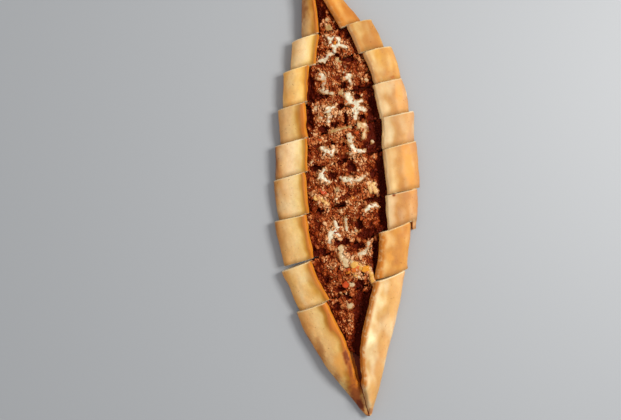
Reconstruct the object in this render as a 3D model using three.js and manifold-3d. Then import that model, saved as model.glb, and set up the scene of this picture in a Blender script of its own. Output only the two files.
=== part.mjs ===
// A Turkish pide: a boat-shaped flatbread whose sides are folded in over minced meat and melted cheese,
// baked, and cut across into nine slices that still lie together in the boat's shape.
//
// Millimetres and degrees, +Z up. The bread lies along Y on its flat underside: the north tip points to +Y
// and the south tip to -Y. The origin is under the middle of its box, on the surface that it lies on.
//
// Every slice has a dough node and a filling node that runs through it from cut to cut. Each larger patch
// of melted cheese or pepper is a node of its own, sunk into the filling of one slice.

import * as THREE from "three";
import { mergeVertices } from "three/addons/utils/BufferGeometryUtils.js";
import Module from "manifold-3d";

const wasm = await Module();
wasm.setup();

// ---- Driving dimensions -------------------------------------------------------------------------------

const LENGTH = 450;
const WIDTH = 146;
const TIP_HALF_WIDTH = 2.6;
const BOW = 11.5; // how far the middle of the boat bows to +X
const BOW_SKEW = 30; // and how much more it does so towards the north tip

const CREST = 23; // height of the folded sides
const CREST_SHARE = 0.8; // the crest's place across a folded side, from its outer edge
const EDGE_HEIGHT = 6; // height at which a folded side reaches furthest out
const FOOT_SHARE = 0.06; // how far its underside curls in, as a share of the half width
const LIP_DROP = 5.5; // from the crest down to the folded edge's upper corner
const LIP_THICKNESS = 3.4; // the least thickness of the folded edge
const LIP_UNDERSIDE = 13.3; // the most that the folded edge's lower corner stands above the table
const CREASE = 4; // depth of the crease where the two sides meet at a tip

const BASE = 5; // thickness of the bread under the filling
const UNDERCUT = 8; // how far the filling reaches in under the folded edges
const BELLY = 0.4; // where between floor and lip it reaches furthest

const FILLING_CROWN = 1.8; // how much higher the filling is along the middle than at the folded edges
const FILLING_LUMP = 0.7; // height of its lumps
const FILLING_LOW = 9.5; // its height where it thins out at a tip
const FILLING_INSET = 1.1; // how far it stops short of each cut

const CUT_GAP = 0.7; // between two slices
const CLEARANCE = 0.35; // between any two pieces
const RUN_PAST = 10; // how far a cutting shape runs past a slice

// Share of the half width that a folded side takes, in the middle and at each tip, and where that changes,
// as shares of the half length.
const SIDE_SHARE = 0.46;
const SIDE_TO_TIP = {
  north: { share: 0.95, starts: 0.4, ends: 1.1 },
  south: { share: 0.93, starts: 0.26, ends: 0.84 },
};

// The folded sides sink towards the tips, the left one first at the south tip.
const SINK = 0.62; // the share of their height that they lose
const SINK_NORTH = { starts: 0.86, ends: 1 };
const SINK_SOUTH = { left: { starts: 0.74, ends: 0.97 }, right: { starts: 0.9, ends: 1 } };

// The trough between the sides narrows to an end short of each tip, over this length, and its floor rises.
const TROUGH_END = { north: 208, south: -188 };
const TROUGH_NARROWS = 37;
const FLOOR_RISE = 3;
const LEAST_GAP = 0.8; // half the gap that stays between the folded edges

// The filling ends before the trough does, and thins out over this length.
const FILLING_END = { north: 203, south: -164 };
const FILLING_THINS = { north: 25, south: 46 };

// The cuts, from the north: where each crosses the centre line, and how far it leans from square.
const CUTS = [
  { y: 155.5, lean: 7.5 },
  { y: 127, lean: 5.5 },
  { y: 93.3, lean: 6 },
  { y: 59.2, lean: 6 },
  { y: 28, lean: 7.3 },
  { y: -15, lean: 4.7 },
  { y: -57.5, lean: 7.5, southY: -55, southLean: 12.9 }, // the slice south of it has turned
  { y: -100, lean: 13 },
];

// The slices, from the north. The knife has spread most north ends and pinched most south ends, and slid
// or turned each slice a little: widths are shares of the boat's own, and slides go to +X. left and right
// scale the height of the two folded sides.
const SLICES = [
  { northWidth: 0.9, southWidth: 0.79, northSlide: 2, southSlide: 2.5, left: 1.04, right: 1.02 },
  { northWidth: 1.03, southWidth: 0.95, northSlide: 3, southSlide: 1, left: 1, right: 1.04 },
  { northWidth: 1.09, southWidth: 1, northSlide: 1, southSlide: 0.5, left: 1.03, right: 0.98 },
  { northWidth: 1.025, southWidth: 0.965, northSlide: -1.5, southSlide: 0, left: 0.97, right: 1 },
  { northWidth: 1.045, southWidth: 0.995, northSlide: -0.5, southSlide: -1, left: 1.02, right: 0.96 },
  { northWidth: 1.01, southWidth: 0.98, northSlide: -1.5, southSlide: 1.5, left: 0.96, right: 1.03 },
  { northWidth: 1, southWidth: 0.985, northSlide: -1, southSlide: 2.5, left: 1.01, right: 0.97 },
  { northWidth: 0.965, southWidth: 0.955, northSlide: -1.5, southSlide: 5, left: 0.98, right: 1.02 },
  { northWidth: 0.96, southWidth: 0.92, northSlide: 2.5, southSlide: 1, left: 1, right: 1.05 },
];
const RAISED = 1.02; // share of its height that a slice stands at its north end
const PRESSED = 0.1; // share that the knife has pressed its south end down by
const PRESSED_FROM = 0.55; // how far along the slice that begins

// Hand-made unevenness: how far an outer edge, a folded edge and a crest wander, over how long.
const WANDER = {
  outer: { by: 0.9, over: 57 },
  folded: { by: 0.6, over: 33 },
  crest: { by: 0.5, over: 42 },
};

// The larger patches of cheese. x and y are measured from the middle of the straight line between the
// boat's two tips. turn is the long side's angle from +X.
const CHEESE = [
  { slice: 2, x: 21, y: 142.5, length: 19, width: 15, turn: 75 },
  { slice: 2, x: 8.5, y: 130, length: 15, width: 8, turn: 20 },
  { slice: 3, x: 3, y: 115, length: 13, width: 9, turn: 80 },
  { slice: 3, x: 27, y: 110, length: 12, width: 9, turn: 30 },
  { slice: 3, x: 4.5, y: 99.5, length: 10, width: 9, turn: 100 },
  { slice: 4, x: 28, y: 79, length: 24, width: 15, turn: 110 },
  { slice: 4, x: 4.5, y: 76, length: 14, width: 10, turn: 70 },
  { slice: 4, x: 18, y: 63, length: 15, width: 6, turn: 12 },
  { slice: 5, x: 34, y: 56.5, length: 11, width: 9, turn: 40 },
  { slice: 5, x: 20.5, y: 48.5, length: 12, width: 8, turn: 95 },
  { slice: 5, x: 24, y: 36, length: 13, width: 8, turn: 5 },
  { slice: 5, x: -1, y: 38.5, length: 15, width: 11, turn: 125 },
  { slice: 6, x: -9, y: 15, length: 14, width: 10, turn: 80 },
  { slice: 6, x: 15.5, y: 9, length: 16, width: 11, turn: 10 },
  { slice: 6, x: 38.5, y: -3, length: 13, width: 9, turn: 100 },
  { slice: 6, x: -13.5, y: -6.5, length: 15, width: 7, turn: 155 },
  { slice: 7, x: 32, y: -21.5, length: 14, width: 10, turn: 15 },
  { slice: 7, x: -9, y: -40.5, length: 24, width: 12, turn: 65 },
  { slice: 7, x: 7, y: -34.5, length: 12, width: 6.5, turn: 95 },
  { slice: 8, x: -2, y: -65, length: 16, width: 9, turn: 100 },
  { slice: 8, x: 19, y: -60.5, length: 14, width: 10, turn: 10 },
  { slice: 8, x: 17.5, y: -82.5, length: 24, width: 12, turn: 130 },
];

// The larger pieces of orange pepper.
const PEPPER = [
  { slice: 6, x: 14, y: -10.5, length: 10, width: 5.5, turn: 8 },
  { slice: 8, x: 2, y: -79.5, length: 8.5, width: 6, turn: 30 },
];

const PATCH_THICKNESS = 4;
const PATCH_RISE = 0.35; // the share of it that stands above the filling
const PATCH_RAGGED = 0.2; // how far its outline wanders, as a share of its radius

// How finely the curves are divided.
const FOOT_STEPS = 2;
const SLOPE_STEPS = 6;
const ROLL_STEPS = 3;
const SLICE_STEPS = 4;
const TIP_STEPS = 9;
const TIP_CROWDING = 1.8; // more than 1 draws a tip slice's stations towards the tip
const FILLING_STEPS_ACROSS = 8;
const PATCH_SECTORS = 10;
const PATCH_BANDS = 5;

const HALF_LENGTH = LENGTH / 2;
const HALF_WIDTH = WIDTH / 2;
const LAST = SLICES.length;

// ---- The boat's outline -------------------------------------------------------------------------------

const { clamp, degToRad, lerp, smoothstep } = THREE.MathUtils;

// Share of the way from the middle to a tip: 1 at the north tip and -1 at the south tip.
const share = (y) => clamp(y / HALF_LENGTH, -1, 1);

const centreLine = (y) => (1 - share(y) ** 2) * (BOW + BOW_SKEW * share(y));

const halfWidth = (y) => TIP_HALF_WIDTH + (HALF_WIDTH - TIP_HALF_WIDTH) * (1 - share(y) ** 2);

// The share of the half width that a folded side takes.
function sideShare(y) {
  const tip = y > 0 ? SIDE_TO_TIP.north : SIDE_TO_TIP.south;
  return lerp(SIDE_SHARE, tip.share, smoothstep(Math.abs(share(y)), tip.starts, tip.ends));
}

// The share of its height that a folded side has lost to a tip.
function sunk(y, name) {
  const { starts, ends } = y > 0 ? SINK_NORTH : SINK_SOUTH[name];
  return SINK * smoothstep(Math.abs(share(y)), starts, ends);
}

// A smooth, uneven value between -1 and 1, the same for the same two numbers.
const uneven = (a, b) => (Math.sin(a * 1.7 + b * 2.3) + Math.sin(a * 0.9 - b * 1.3 + 1.9)) / 2;

const wander = ({ by, over }, y, seed) => by * uneven((y * Math.PI * 2) / over / 1.7, seed);

// ---- A slice's place and its cross section -------------------------------------------------------------

// Where slice n starts and ends along the centre line, and how its two cuts lean.
function reach(n) {
  const tip = { lean: 0 };
  const north = CUTS[n - 2] ?? tip;
  const south = CUTS[n - 1] ?? tip;
  return {
    northY: n === 1 ? HALF_LENGTH : (north.southY ?? north.y) - CUT_GAP / 2,
    southY: n === LAST ? -HALF_LENGTH : south.y + CUT_GAP / 2,
    northLean: north.southLean ?? north.lean,
    southLean: south.lean,
  };
}

// One station of slice n, at a share t of the way from its north end to its south end.
function station(n, t) {
  const slice = SLICES[n - 1];
  const { northY, southY, northLean, southLean } = reach(n);
  const y = lerp(northY, southY, t);
  const spread = lerp(slice.northWidth, slice.southWidth, t);
  const pressed = n === LAST ? 0 : PRESSED * smoothstep(t, PRESSED_FROM, 1);
  const side = (name, seed) => {
    const half = Math.max(halfWidth(y) * spread + wander(WANDER.outer, y, seed), TIP_HALF_WIDTH);
    return {
      half,
      border: half * sideShare(y) + wander(WANDER.folded, y, seed + LAST) * (1 - Math.abs(share(y))),
      crest: CREST * slice[name] * (RAISED - pressed) * (1 - sunk(y, name)) + wander(WANDER.crest, y, -seed),
    };
  };
  return {
    y,
    centre: centreLine(y),
    slide: lerp(slice.northSlide, slice.southSlide, t),
    slope: Math.tan(degToRad(lerp(northLean, southLean, t))),
    left: side("left", n),
    right: side("right", n + LAST),
  };
}

// A point of a station: x from the slice's own middle, along the leaning cut.
const place = (s, x, z) => new THREE.Vector3(s.centre + s.slide + x, s.y + s.slope * (s.slide + x), z);

// Points on a quarter of an ellipse from one corner to the other, without the first. The curve leaves its
// first corner upright when upright is true, and level when it is false.
function quarter(from, to, steps, upright) {
  return Array.from({ length: steps }, (_, i) => {
    const angle = ((i + 1) / steps) * (Math.PI / 2);
    const early = Math.sin(angle);
    const late = 1 - Math.cos(angle);
    return [lerp(from[0], to[0], upright ? late : early), lerp(from[1], to[1], upright ? early : late)];
  });
}

const lipTop = (side) => side.crest * (1 - LIP_DROP / CREST);

// A folded side's outer surface, from its foot up over the crest to the folded edge, as [inwards, height].
function foldedSide(side) {
  const foot = [side.half * FOOT_SHARE, 0];
  const furthest = [0, side.crest * (EDGE_HEIGHT / CREST)];
  const crest = [side.border * CREST_SHARE, side.crest];
  return [
    foot,
    ...quarter(foot, furthest, FOOT_STEPS, false),
    ...quarter(furthest, crest, SLOPE_STEPS, true),
    ...quarter(crest, [side.border, lipTop(side)], ROLL_STEPS, false),
  ];
}

// ---- Closed solids from cross sections ------------------------------------------------------------------

// Triangles that fill a closed section, turned the way the section runs.
function capOf(section) {
  const flat = section.map(([x, z]) => new THREE.Vector2(x, z));
  return THREE.ShapeUtils.triangulateShape(flat, []).map(([a, b, c]) => {
    const turn = flat[b].clone().sub(flat[a]).cross(flat[c].clone().sub(flat[a]));
    return turn > 0 ? [a, b, c] : [a, c, b];
  });
}

// A closed geometry through sections that run anticlockwise when seen from the south, from north to south.
// Each section is a list of [x, z] on the station of the same number.
function loft(stations, sectionOf) {
  const sections = stations.map(sectionOf);
  const around = sections[0].length;
  const last = sections.length - 1;
  const index = [];
  for (let r = 0; r < last; r++) {
    for (let p = 0; p < around; p++) {
      const a = r * around + p;
      const b = r * around + ((p + 1) % around);
      index.push(a, b, b + around, a, b + around, a + around);
    }
  }
  capOf(sections[0]).forEach(([a, b, c]) => index.push(a, c, b));
  capOf(sections[last]).forEach((face) => index.push(...face.map((i) => last * around + i)));
  const points = sections.flatMap((section, r) => section.map(([x, z]) => place(stations[r], x, z)));
  return new THREE.BufferGeometry().setFromPoints(points).setIndex(index);
}

function solidOf(geometry) {
  const bare = new THREE.BufferGeometry()
    .setAttribute("position", geometry.getAttribute("position"))
    .setIndex(geometry.index);
  const merged = mergeVertices(bare);
  return new wasm.Manifold(
    new wasm.Mesh({
      numProp: 3,
      vertProperties: merged.attributes.position.array,
      triVerts: new Uint32Array(merged.index.array),
    }),
  );
}

function geometryOf(solid) {
  const made = solid.getMesh();
  const geometry = new THREE.BufferGeometry()
    .setAttribute("position", new THREE.BufferAttribute(made.vertProperties, 3))
    .setIndex(new THREE.BufferAttribute(made.triVerts, 1));
  geometry.computeVertexNormals();
  return geometry;
}

const largest = (solid) => solid.decompose().reduce((a, b) => (b.volume() > a.volume() ? b : a));

// ---- Along a slice --------------------------------------------------------------------------------------

const stepsOf = (n) => (n === 1 || n === LAST ? TIP_STEPS : SLICE_STEPS);

// Shares from 0 to 1 along slice n, closer together towards a tip.
function shares(n) {
  return Array.from({ length: stepsOf(n) + 1 }, (_, i) => {
    const t = i / stepsOf(n);
    if (n === 1) return t ** TIP_CROWDING;
    return n === LAST ? 1 - (1 - t) ** TIP_CROWDING : t;
  });
}

// A solid along slice n and past both its cuts, but no further out than the trough runs.
function runThrough(n, sectionOf) {
  const { northY, southY } = reach(n);
  const from = Math.min(northY + RUN_PAST, TROUGH_END.north);
  const to = Math.max(southY - RUN_PAST, TROUGH_END.south);
  const stations = Array.from({ length: stepsOf(n) + 1 }, (_, i) => {
    const y = lerp(from, to, i / stepsOf(n));
    return station(n, (y - northY) / (southY - northY));
  });
  return solidOf(loft(stations, sectionOf));
}

// The space between slice n's two cuts and out to its sides, grown by a margin.
function spaceOf(n, margin) {
  const stations = [0, 1].map((t) => station(n, t));
  stations[0].y = Math.min(stations[0].y + margin, FILLING_END.north);
  stations[1].y = Math.max(stations[1].y - margin, FILLING_END.south);
  const section = (s) => {
    const right = s.right.half + margin;
    const left = -s.left.half - margin;
    return [
      [right, -CREST],
      [right, CREST * 2],
      [left, CREST * 2],
      [left, -CREST],
    ];
  };
  return solidOf(loft(stations, section));
}

// A solid of slice n, cut back where the slice south of it has turned and been pushed into it.
const pushedBack = (n, solid, margin) =>
  CUTS[n - 1]?.southY ? solid.subtract(spaceOf(n + 1, margin)) : solid;

// What runs along slice n inside its sides, stopped short of its two cuts.
function runInside(n, sectionOf) {
  const made = runThrough(n, sectionOf).intersect(spaceOf(n, -FILLING_INSET));
  return pushedBack(n, made, FILLING_INSET);
}

// ---- Dough ----------------------------------------------------------------------------------------------

function doughSection(s) {
  const right = foldedSide(s.right).map(([inwards, z]) => [s.right.half - inwards, z]);
  const left = foldedSide(s.left).map(([inwards, z]) => [inwards - s.left.half, z]);
  const crease = [
    (right.at(-1)[0] + left.at(-1)[0]) / 2,
    Math.min(right.at(-1)[1], left.at(-1)[1]) * (1 - CREASE / CREST),
  ];
  return [...right, crease, ...left.reverse()];
}

// How far the trough has closed towards a tip, from 0 in the open to 1 at its end.
function closing(y) {
  const end = y > 0 ? TROUGH_END.north : -TROUGH_END.south;
  return smoothstep(Math.abs(y), end - TROUGH_NARROWS, end);
}

// One side of the trough, from the centre line: half the gap between the folded edges, how far it reaches
// under them, and the heights of its floor, its widest place and the folded edge's lower corner.
function troughSide(s, side) {
  const closed = closing(s.y);
  const floor = BASE + FLOOR_RISE * closed;
  const lip = Math.min(LIP_UNDERSIDE, lipTop(side) - LIP_THICKNESS * (1 - closed / 2));
  return {
    gap: Math.max(side.half - side.border, LEAST_GAP),
    under: lerp(UNDERCUT, CLEARANCE * 4, closed),
    floor,
    belly: lerp(floor, lip, BELLY),
    lip,
  };
}

// A section from the profile of its right side and of its left side, whose sign is -1.
function bothSides(s, profile) {
  const right = profile(troughSide(s, s.right), 1);
  const left = profile(troughSide(s, s.left), -1).map(([x, z]) => [-x, z]);
  return [...right, ...left.reverse()];
}

const troughSection = (s) =>
  bothSides(s, ({ gap, under, floor, belly, lip }) => [
    [gap + under * (1 - BELLY), floor],
    [gap + under, belly],
    [gap + CLEARANCE, lip],
    [gap + CLEARANCE, CREST * 2],
  ]);

const wholeSlice = (n) => solidOf(loft(shares(n).map((t) => station(n, t)), doughSection));

const dough = (n) => pushedBack(n, wholeSlice(n).subtract(runThrough(n, troughSection)), CLEARANCE);

// ---- Filling --------------------------------------------------------------------------------------------

// Height of the filling's top at a station, at a share across from -1 to 1 between the folded edges.
function fillingTop(s, across) {
  const tip = s.y > 0 ? "north" : "south";
  const end = Math.abs(FILLING_END[tip]);
  const thinned = smoothstep(Math.abs(s.y), end - FILLING_THINS[tip], end);
  const lips = lerp(troughSide(s, s.left).lip, troughSide(s, s.right).lip, (across + 1) / 2);
  const lumps = FILLING_LUMP * uneven(s.y / 2, across * 5);
  const heaped = (FILLING_CROWN + lumps) * (1 - across * across);
  return lerp(lips - CLEARANCE * 2 + heaped, Math.min(FILLING_LOW, lips - CLEARANCE * 2), thinned);
}

function fillingSection(s) {
  const profile = ({ gap, under, floor, belly }, sign) => [
    [gap + under * (1 - BELLY) - CLEARANCE, floor + CLEARANCE],
    [gap + under - CLEARANCE, belly - CLEARANCE / 2],
    ...Array.from({ length: FILLING_STEPS_ACROSS / 2 }, (_, i) => {
      const across = 1 - (2 * i) / FILLING_STEPS_ACROSS;
      return [across * gap, fillingTop(s, across * sign)];
    }),
  ];
  return bothSides(s, profile);
}

const filling = (n) => runInside(n, fillingSection);

// ---- Cheese and pepper ----------------------------------------------------------------------------------

// The section between the two folded edges, at any height over the bread.
const openingSection = (s) =>
  bothSides(s, ({ gap }) => [
    [gap, BASE],
    [gap, CREST],
  ]);

// A flat, ragged patch, thickest in the middle. grow makes it larger all round.
function patchBlob(patch, grow) {
  const { northY, southY } = reach(patch.slice);
  const s = station(patch.slice, (patch.y - northY) / (southY - northY));
  const fromMiddle = patch.x - s.centre - s.slide;
  const side = troughSide(s, fromMiddle > 0 ? s.right : s.left);
  const top = fillingTop(s, fromMiddle / side.gap);
  const geometry = new THREE.SphereGeometry(1, PATCH_SECTORS, PATCH_BANDS).rotateX(Math.PI / 2);
  const points = geometry.getAttribute("position");
  for (let i = 0; i < points.count; i++) {
    const [x, y, z] = [points.getX(i), points.getY(i), points.getZ(i)];
    const angle = Math.atan2(y, x);
    const ragged = 1 + PATCH_RAGGED * uneven(Math.cos(angle) * 3 + patch.turn, Math.sin(angle) * 3);
    points.setXYZ(
      i,
      x * ((patch.length / 2) * ragged + grow),
      y * ((patch.width / 2) * ragged + grow),
      z * (PATCH_THICKNESS / 2 + grow),
    );
  }
  geometry
    .rotateZ(degToRad(patch.turn))
    .translate(patch.x, patch.y, top + PATCH_THICKNESS * (PATCH_RISE - 1 / 2));
  return solidOf(geometry);
}

// A patch lies within its slice, between the folded edges.
const topping = (patch) => patchBlob(patch, 0).intersect(runInside(patch.slice, openingSection));

// ---- The nodes ------------------------------------------------------------------------------------------

const CRUST = new THREE.MeshStandardMaterial({ color: "#e3b577", roughness: 0.7 });
const MEAT = new THREE.MeshStandardMaterial({ color: "#7a4226", roughness: 0.5 });
const MELTED_CHEESE = new THREE.MeshStandardMaterial({ color: "#e2d3ae", roughness: 0.45 });
const ROAST_PEPPER = new THREE.MeshStandardMaterial({ color: "#d9802c", roughness: 0.4 });

function node(name, solid, material) {
  const mesh = new THREE.Mesh(geometryOf(largest(solid)), material);
  mesh.name = name;
  return mesh;
}

const slices = new THREE.Group();
for (let n = 1; n <= LAST; n++) {
  const patches = [...CHEESE, ...PEPPER].filter((patch) => patch.slice === n);
  const around = patches.reduce((solid, patch) => solid.subtract(patchBlob(patch, CLEARANCE)), filling(n));
  slices.add(node(`dough_${n}`, dough(n), CRUST), node(`filling_${n}`, around, MEAT));
}
CHEESE.forEach((patch, i) => slices.add(node(`cheese_${i + 1}`, topping(patch), MELTED_CHEESE)));
PEPPER.forEach((patch, i) => slices.add(node(`pepper_${i + 1}`, topping(patch), ROAST_PEPPER)));

// The bowed boat is set over the origin by the middle of its box.
const middle = new THREE.Box3().setFromObject(slices).getCenter(new THREE.Vector3());
slices.position.set(-middle.x, -middle.y, 0);

const pide = new THREE.Group();
pide.name = "pide";
pide.add(slices);

export default pide;
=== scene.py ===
"""A Turkish pide: a boat of bread folded in over minced meat and melted cheese, baked and cut into slices."""

import itertools
import math

import bpy
import numpy as np
from mathutils import Euler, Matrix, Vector
from mathutils.bvhtree import BVHTree


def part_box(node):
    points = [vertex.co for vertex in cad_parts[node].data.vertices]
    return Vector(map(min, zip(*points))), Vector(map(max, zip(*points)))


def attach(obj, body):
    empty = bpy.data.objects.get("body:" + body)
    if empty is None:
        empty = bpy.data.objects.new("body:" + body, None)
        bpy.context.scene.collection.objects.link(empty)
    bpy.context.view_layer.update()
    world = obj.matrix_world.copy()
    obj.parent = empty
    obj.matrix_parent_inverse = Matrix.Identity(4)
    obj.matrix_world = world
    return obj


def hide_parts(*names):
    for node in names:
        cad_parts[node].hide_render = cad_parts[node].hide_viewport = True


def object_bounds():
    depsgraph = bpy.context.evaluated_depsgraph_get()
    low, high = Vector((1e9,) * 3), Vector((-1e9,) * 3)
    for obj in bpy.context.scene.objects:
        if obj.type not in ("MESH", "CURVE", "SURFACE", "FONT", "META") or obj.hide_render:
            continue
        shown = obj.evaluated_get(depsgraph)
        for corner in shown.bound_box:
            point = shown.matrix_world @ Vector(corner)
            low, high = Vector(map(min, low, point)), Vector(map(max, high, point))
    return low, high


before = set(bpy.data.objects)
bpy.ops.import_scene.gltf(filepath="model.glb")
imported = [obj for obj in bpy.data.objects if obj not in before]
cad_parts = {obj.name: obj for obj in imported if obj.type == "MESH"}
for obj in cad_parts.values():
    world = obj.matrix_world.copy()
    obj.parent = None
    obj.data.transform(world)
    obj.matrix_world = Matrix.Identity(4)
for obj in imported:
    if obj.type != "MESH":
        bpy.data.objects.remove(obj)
cad_low, cad_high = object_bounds()

# ---- The table, the camera and the light -------------------------------------------------------------------
# The pide lies on a plain pale table and is looked down on from above. A soft light stands above its right,
# so the folded side there shades the filling, and an even light from all round fills the shadows.

mm = 0.001
CAMERA_HEIGHT = 924 * mm
CAMERA_OVER = (-39.5 * mm, -15 * mm)
CAMERA_TURN = math.radians(-8.39)
LENS = 54
LIGHT_PLACE = (0.78, 0.16, 1.02)
LIGHT_SIZE = 0.4
LIGHT_WATTS = 15
LIGHT_COLOUR = (1.0, 0.975, 0.94)
SKY_COLOUR = (0.98, 0.98, 1.0, 1)
SKY_STRENGTH = 0.58
TABLE_SIZE = 6
TABLE_COLOUR = (0.37, 0.385, 0.40, 1)
TABLE_ROUGHNESS = 0.6
TABLE_DROP = 0.2 * mm

scene = bpy.context.scene
scene.view_settings.view_transform = "Standard"

camera = bpy.data.objects.new("camera", bpy.data.cameras.new("camera"))
camera.data.lens = LENS
camera.location = (*CAMERA_OVER, CAMERA_HEIGHT)
camera.rotation_euler = (0, 0, CAMERA_TURN)
scene.collection.objects.link(camera)
scene.camera = camera

window = bpy.data.objects.new("window", bpy.data.lights.new("window", "AREA"))
window.data.size = LIGHT_SIZE
window.data.energy = LIGHT_WATTS
window.data.color = LIGHT_COLOUR
window.location = LIGHT_PLACE
window.rotation_euler = window.location.to_track_quat("Z", "Y").to_euler()
scene.collection.objects.link(window)

sky = bpy.data.worlds.new("sky")
sky.use_nodes = True
sky_sockets = sky.node_tree.nodes["Background"].inputs
sky_sockets["Color"].default_value = SKY_COLOUR
sky_sockets["Strength"].default_value = SKY_STRENGTH
scene.world = sky

bpy.ops.mesh.primitive_plane_add(size=TABLE_SIZE, location=(0, 0, -TABLE_DROP))
table = bpy.context.object
table.name = "table"
table_paint = bpy.data.materials.new("table_paint")
table_paint.use_nodes = True
table_sockets = table_paint.node_tree.nodes["Principled BSDF"].inputs
table_sockets["Base Color"].default_value = TABLE_COLOUR
table_sockets["Roughness"].default_value = TABLE_ROUGHNESS
table.data.materials.append(table_paint)

# ---- The bread ---------------------------------------------------------------------------------------------
# Each slice of bread is one piece of baked dough: a thin floor whose two sides are rolled in over the
# filling. The folded edge is soaked with orange oil, the crest is pale, and the outer slope is toasted.

SLICES = range(1, 10)
BREAD_VOXEL = 1.01 * mm
BREAD_RELAX_ROUNDS = 22
BREAD_MARGIN = 0.3 * mm
# A face counts as upright if its normal rises less than this, and a point as cut if it is this near the cut.
UPRIGHT = 0.02
CUT_TOUCH = 0.7 * mm
LEAST_CUT_AREA = 150 * mm * mm
# The folded edge is looked for this near the filling, and from this height up. The trough lies this far
# out in front of it.
LIP_SEARCH = 4 * mm
LIP_FROM = 9 * mm
TROUGH_FROM = 0.9 * mm
# How high the skin's lumps, dimples and wrinkles and the cut's pores are, and how wide.
LUMP, LUMP_SIZE = 0.7 * mm, 16 * mm
DIMPLE, DIMPLE_SIZE = 0.22 * mm, 5 * mm
WRINKLE, WRINKLE_SIZE = 0.06 * mm, 1.9 * mm
PORE, PORE_SIZE = 0.5 * mm, 1.6 * mm
# The crease along each fold: its distance from the folded edge, how much that wanders, and its section.
LEFT_CREASE = 5.5 * mm
RIGHT_CREASE = 1.6 * mm
CREASE_WANDER, CREASE_WANDER_SIZE = 0.9 * mm, 9 * mm
CREASE_DEPTH = 0.5 * mm
CREASE_WIDTH = 1.1 * mm
# How far the bread droops towards its southern cut, and how far a cut's face bulges, below and at its mouth.
SOUTH_DROOP = 1.7 * mm
SOUTH_DROOP_LENGTH = 3.2 * mm
CUT_SPREAD = 0.34 * mm
CUT_MOUTH = 0.16 * mm
# How far the folded edge waves in and out, how long its waves are, and how far over the crest they reach.
LIP_WAVE, LIP_WAVE_SIZE = 0.7 * mm, 6 * mm
LIP_WAVE_WIDTH = 3 * mm
# The heights between which each of these and the hang of the fold come in.
SKIN_HEIGHTS = (0.5 * mm, 3 * mm)
CREASE_HEIGHTS = (12 * mm, 16 * mm)
MOUTH_HEIGHTS = (13 * mm, 17 * mm)
LIP_HEIGHTS = (10 * mm, 15 * mm)
HANG_HEIGHTS = (9 * mm, 14 * mm)
DROOP_HEIGHTS = (6 * mm, 20 * mm)
# How far the soft folded edges of each slice hang in over the filling, in millimetres: left and right.
HANGS = ((-1.5, 4), (2, 2.5), (-1.5, 2), (-1, 2.5), (1, 2.6), (-0.5, 2.2), (0, 0.8), (0.5, 4), (-1, 1.8))
HANG_WIDTH = 8 * mm
# What a slice without a cut at one end counts as its distance from it.
FAR_FROM_CUT = 99 * mm
# How yellow with oil each slice's crust is, from the north, as in all the lists by slice.
STAINS = (0.5, 0.2, 0.8, 0.1, 0.05, 0.4, 0.3, 0.6, 0.2)
# How each slice's left side and right side have taken colour: shares of red, green and blue.
BAKED = (
    ((0.93, 0.82, 0.78), (0.88, 0.68, 0.36)), ((1.12, 1.18, 1.22), (0.82, 0.77, 0.56)),
    ((1.15, 1.08, 0.88), (0.96, 1.0, 0.9)), ((0.92, 0.86, 0.76), (0.95, 1.02, 1.08)),
    ((1.04, 1.13, 1.3), (0.94, 1.08, 1.25)), ((1.0, 1.05, 1.1), (0.9, 0.87, 0.78)),
    ((0.96, 0.93, 0.82), (0.9, 0.88, 0.9)), ((1.02, 1.06, 1.04), (0.95, 0.88, 0.7)),
    ((0.92, 0.86, 0.72), (1.1, 1.3, 1.5)),
)
# Places that the oil has coloured orange, in millimetres: x, y, half width, half length, strength.
OIL_SPOTS = (
    (-34, -168, 7, 16, 0.9), (29, -71, 5, 7, 0.8), (61, 12, 5, 22, 0.9), (62, 82, 4.5, 13, 0.75),
    (8, 196, 12, 20, 0.8), (-44, 98, 4, 12, 0.5),
)
# How dark the very edge of each slice's right fold is: browning, and painted shade on its unlit face.
BROWNED_AND_SHADED_EDGES = (0.9, 0.6, 0.6, 0.3, 0.3, 0.3, 0.1, 0.95, 0.95)
# How much further than usual the brown of each slice's left fold reaches over the crest, in millimetres.
BROWN_REACHES = (0, -1.6, -1.2, 1.6, -2, 0, 1, 0, 2.6)
# Burnt places and painted shade in millimetres: x, y, half width, half length, strength.
# The shade is painted at the southern tip, along the outer left edge to the south, and on the northern slice's
# left fold.
SCORCHES_AND_SHADE = (
    (42.4, -12.5, 2.2, 1.8, 0.9), (58.2, 101.4, 4.5, 2.5, 0.5), (-26, -160, 4, 9, 0.85),
    (-24, -174, 3, 14, 0.75), (-37, -127, 1.8, 12, 0.5), (-50, -152, 4, 16, 0.4), (-38, -182, 4, 8, 0.45),
    (-22, -202, 9, 24, 0.75), (-20, -211, 5, 12, 0.95), (-10, -219, 4, 5, 0.5), (-19, 180, 6, 16, 0.55),
    (-24, 160, 4, 14, 0.35),
)


def read(parts, name, width, kind=float):
    """What all these parts of a mesh hold under this name, as an array with a row for each."""
    flat = np.empty(len(parts) * width, kind)
    parts.foreach_get(name, flat)
    return flat.reshape(-1, width)


def points_of(mesh):
    return read(mesh.vertices, "co", 3)


def normals_of(mesh):
    """The direction that each point of the mesh faces."""
    return read(mesh.vertex_normals, "vector", 3, np.float32).astype(float)


def edges_of(mesh):
    """The pairs of points that the mesh's edges join."""
    return read(mesh.edges, "vertices", 2, int)


def move_points(mesh, points):
    """Puts the mesh's points in these places."""
    mesh.vertices.foreach_set("co", points.astype(np.float32).ravel())
    mesh.update()


def give(mesh, name, values):
    """Stores a number at each point of the mesh for its material to read."""
    attribute = mesh.attributes.new(name, "FLOAT", "POINT")
    spread = np.broadcast_to(np.asarray(values, np.float32), len(mesh.vertices))
    attribute.data.foreach_set("value", np.ascontiguousarray(spread))


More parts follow.
